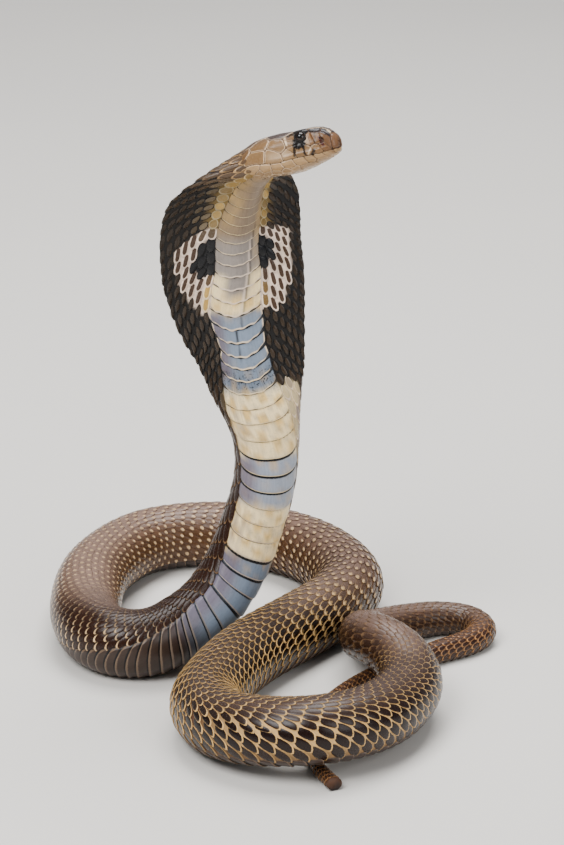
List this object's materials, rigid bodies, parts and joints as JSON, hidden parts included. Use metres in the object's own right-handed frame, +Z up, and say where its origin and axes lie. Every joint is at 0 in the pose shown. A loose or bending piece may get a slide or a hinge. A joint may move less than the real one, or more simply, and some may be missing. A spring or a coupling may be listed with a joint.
{
  "type": "spectacled cobra model",
  "caption": "Life-size still model of an Indian spectacled cobra, reared with its hood spread over a coiled body and a tail looped back under itself.",
  "frame": {"origin": "on the floor, at the centre of the bounding box's footprint", "axes": "+Z up; the hood's throat and the view in the picture are towards -Y; the head points towards +X"},
  "size_m": [0.2111, 0.2815, 0.2634],
  "materials": {
    "head_skin": "smooth shields, satin",
    "jaw_skin": "smooth, satin",
    "eye": "wet gloss",
    "hood_skin": "small scales, satin",
    "forebody_skin": "broad belly plates, satin",
    "coil_skin": "smooth scales, satin",
    "tail_skin": "smooth scales, satin"
  },
  "bodies": {
    "root": {"head": "head_skin", "lower_jaw": "jaw_skin", "eye_left": "eye", "eye_right": "eye", "hood": "hood_skin", "forebody": "forebody_skin", "forebody_base": "forebody_skin", "coil_left_bend": "coil_skin", "coil_left_back": "coil_skin", "coil_back": "coil_skin", "coil_right_bend": "coil_skin", "coil_cross": "coil_skin", "coil_front_left_bend": "coil_skin", "coil_front": "coil_skin", "coil_front_right_bend": "coil_skin", "coil_inner_bend": "coil_skin", "tail_base": "tail_skin", "tail_bend": "tail_skin", "tail_crossing": "tail_skin", "tail_tip": "tail_skin"}
  },
  "joints": []
}
